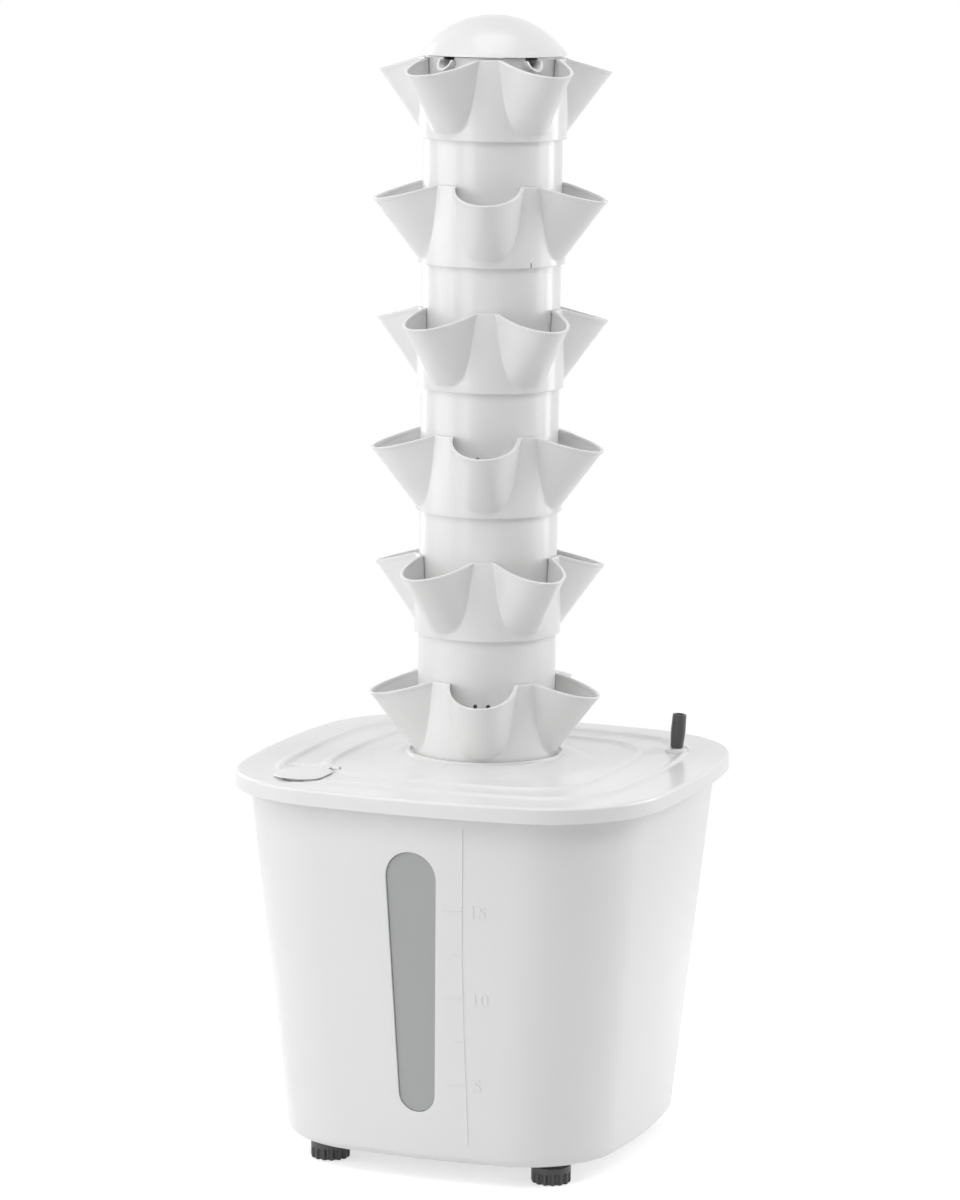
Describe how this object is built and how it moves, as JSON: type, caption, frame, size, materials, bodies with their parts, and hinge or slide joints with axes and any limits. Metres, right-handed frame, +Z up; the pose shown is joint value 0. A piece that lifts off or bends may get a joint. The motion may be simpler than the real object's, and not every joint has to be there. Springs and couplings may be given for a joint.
{
  "type": "hydroponic tower",
  "caption": "Free-standing hydroponic planter: a tapered water tank with a level window and lid, under a stack of pocketed planting rings and tubes with a dome cap.",
  "frame": {"origin": "on the floor, on the tower's axis", "axes": "+Z up along the tower, -Y towards the tank's level window"},
  "size_m": [0.3616, 0.3616, 0.9117],
  "materials": {
    "white_plastic": "satin white moulded plastic",
    "window_plastic": "frosted translucent grey plastic",
    "grey_plastic": "dark grey moulded plastic",
    "black_plastic": "black moulded plastic",
    "blue_plastic": "blue moulded plastic",
    "pipe_plastic": "pale grey extruded pipe",
    "float_foam": "closed-cell foam",
    "rubber": "soft black rubber",
    "steel": "plain stainless steel"
  },
  "bodies": {
    "tank": {"tank": "white_plastic", "level_window": "window_plastic", "window_seal": "rubber", "suction_cups": "rubber", "pump_housing": "black_plastic", "pump_cover": "black_plastic", "pump_outlet": "black_plastic", "cable_gland": "black_plastic", "riser_lower": "pipe_plastic", "riser_middle": "pipe_plastic", "riser_upper": "pipe_plastic"},
    "lid": {"lid": "white_plastic", "lid_gasket": "rubber", "riser_guide": "white_plastic", "flap_pin": "steel", "float_bush": "white_plastic"},
    "flap": {"fill_flap": "white_plastic", "flap_seal": "rubber"},
    "float": {"float_cap": "grey_plastic", "float_stem": "steel", "float_body": "float_foam"},
    "impeller": {"pump_impeller": "blue_plastic"},
    "dome": {"dome_cap": "white_plastic"},
    "ring_6": {"planting_ring_6": "white_plastic"},
    "tube_5": {"drip_tube_5": "white_plastic"},
    "ring_5": {"planting_ring_5": "white_plastic"},
    "tube_4": {"drip_tube_4": "white_plastic"},
    "ring_4": {"planting_ring_4": "white_plastic"},
    "tube_3": {"drip_tube_3": "white_plastic"},
    "ring_3": {"planting_ring_3": "white_plastic"},
    "tube_2": {"drip_tube_2": "white_plastic"},
    "ring_2": {"planting_ring_2": "white_plastic"},
    "tube_1": {"drip_tube_1": "white_plastic"},
    "ring_1": {"planting_ring_1": "white_plastic", "water_distributor": "white_plastic"},
    "stud_1": {"foot_stud_1": "steel"},
    "knob_1": {"foot_knob_1": "grey_plastic"},
    "stud_2": {"foot_stud_2": "steel"},
    "knob_2": {"foot_knob_2": "grey_plastic"},
    "stud_3": {"foot_stud_3": "steel"},
    "knob_3": {"foot_knob_3": "grey_plastic"},
    "stud_4": {"foot_stud_4": "steel"},
    "knob_4": {"foot_knob_4": "grey_plastic"}
  },
  "joints": [
    {"name": "lid_lift", "type": "slide", "parent": "tank", "child": "lid", "axis": [0, 0, 1], "range_m": [0, 0.06]},
    {"name": "flap_open", "type": "hinge", "parent": "lid", "child": "flap", "pos_m": [-0.1085, -0.094, 0.3178], "axis": [-1, 0, 0], "range_deg": [0, 110]},
    {"name": "float_rise", "type": "slide", "parent": "lid", "child": "float", "axis": [0.0656, 0.0239, 0.9976], "range_m": [0, 0.165]},
    {"name": "impeller_spin", "type": "hinge", "parent": "tank", "child": "impeller", "pos_m": [0, -0.02, 0.053], "axis": [0, 1, 0], "continuous": true},
    {"name": "ring_6_turn", "type": "hinge", "parent": "lid", "child": "ring_6", "pos_m": [0, 0, 0.322], "axis": [0, 0, 1], "continuous": true},
    {"name": "tube_5_lift", "type": "slide", "parent": "ring_6", "child": "tube_5", "axis": [0, 0, 1], "range_m": [0, 0.05]},
    {"name": "ring_5_turn", "type": "hinge", "parent": "tube_5", "child": "ring_5", "pos_m": [0, 0, 0.4204], "axis": [0, 0, 1], "continuous": true},
    {"name": "tube_4_lift", "type": "slide", "parent": "ring_5", "child": "tube_4", "axis": [0, 0, 1], "range_m": [0, 0.05]},
    {"name": "ring_4_turn", "type": "hinge", "parent": "tube_4", "child": "ring_4", "pos_m": [0, 0, 0.5188], "axis": [0, 0, 1], "continuous": true},
    {"name": "tube_3_lift", "type": "slide", "parent": "ring_4", "child": "tube_3", "axis": [0, 0, 1], "range_m": [0, 0.05]},
    {"name": "ring_3_turn", "type": "hinge", "parent": "tube_3", "child": "ring_3", "pos_m": [0, 0, 0.6172], "axis": [0, 0, 1], "continuous": true},
    {"name": "tube_2_lift", "type": "slide", "parent": "ring_3", "child": "tube_2", "axis": [0, 0, 1], "range_m": [0, 0.05]},
    {"name": "ring_2_turn", "type": "hinge", "parent": "tube_2", "child": "ring_2", "pos_m": [0, 0, 0.7156], "axis": [0, 0, 1], "continuous": true},
    {"name": "tube_1_lift", "type": "slide", "parent": "ring_2", "child": "tube_1", "axis": [0, 0, 1], "range_m": [0, 0.05]},
    {"name": "ring_1_turn", "type": "hinge", "parent": "tube_1", "child": "ring_1", "pos_m": [0, 0, 0.814], "axis": [0, 0, 1], "continuous": true},
    {"name": "dome_lift", "type": "slide", "parent": "ring_1", "child": "dome", "axis": [0, 0, 1], "range_m": [0, 0.05]},
    {"name": "foot_1_screw", "type": "slide", "parent": "tank", "child": "stud_1", "axis": [0, 0, -1], "range_m": [0, 0.005]},
    {"name": "foot_1_turn", "type": "hinge", "parent": "stud_1", "child": "knob_1", "pos_m": [-0.094, -0.094, 0], "axis": [0, 0, -1], "range_deg": [0, 1440]},
    {"name": "foot_2_screw", "type": "slide", "parent": "tank", "child": "stud_2", "axis": [0, 0, -1], "range_m": [0, 0.005]},
    {"name": "foot_2_turn", "type": "hinge", "parent": "stud_2", "child": "knob_2", "pos_m": [-0.094, 0.094, 0], "axis": [0, 0, -1], "range_deg": [0, 1440]},
    {"name": "foot_3_screw", "type": "slide", "parent": "tank", "child": "stud_3", "axis": [0, 0, -1], "range_m": [0, 0.005]},
    {"name": "foot_3_turn", "type": "hinge", "parent": "stud_3", "child": "knob_3", "pos_m": [0.094, -0.094, 0], "axis": [0, 0, -1], "range_deg": [0, 1440]},
    {"name": "foot_4_screw", "type": "slide", "parent": "tank", "child": "stud_4", "axis": [0, 0, -1], "range_m": [0, 0.005]},
    {"name": "foot_4_turn", "type": "hinge", "parent": "stud_4", "child": "knob_4", "pos_m": [0.094, 0.094, 0], "axis": [0, 0, -1], "range_deg": [0, 1440]}
  ],
  "couplings": [
    {"joint": "foot_1_screw", "follows": "foot_1_turn", "m_per_rad": 0.0001989},
    {"joint": "foot_2_screw", "follows": "foot_2_turn", "m_per_rad": 0.0001989},
    {"joint": "foot_3_screw", "follows": "foot_3_turn", "m_per_rad": 0.0001989},
    {"joint": "foot_4_screw", "follows": "foot_4_turn", "m_per_rad": 0.0001989}
  ]
}
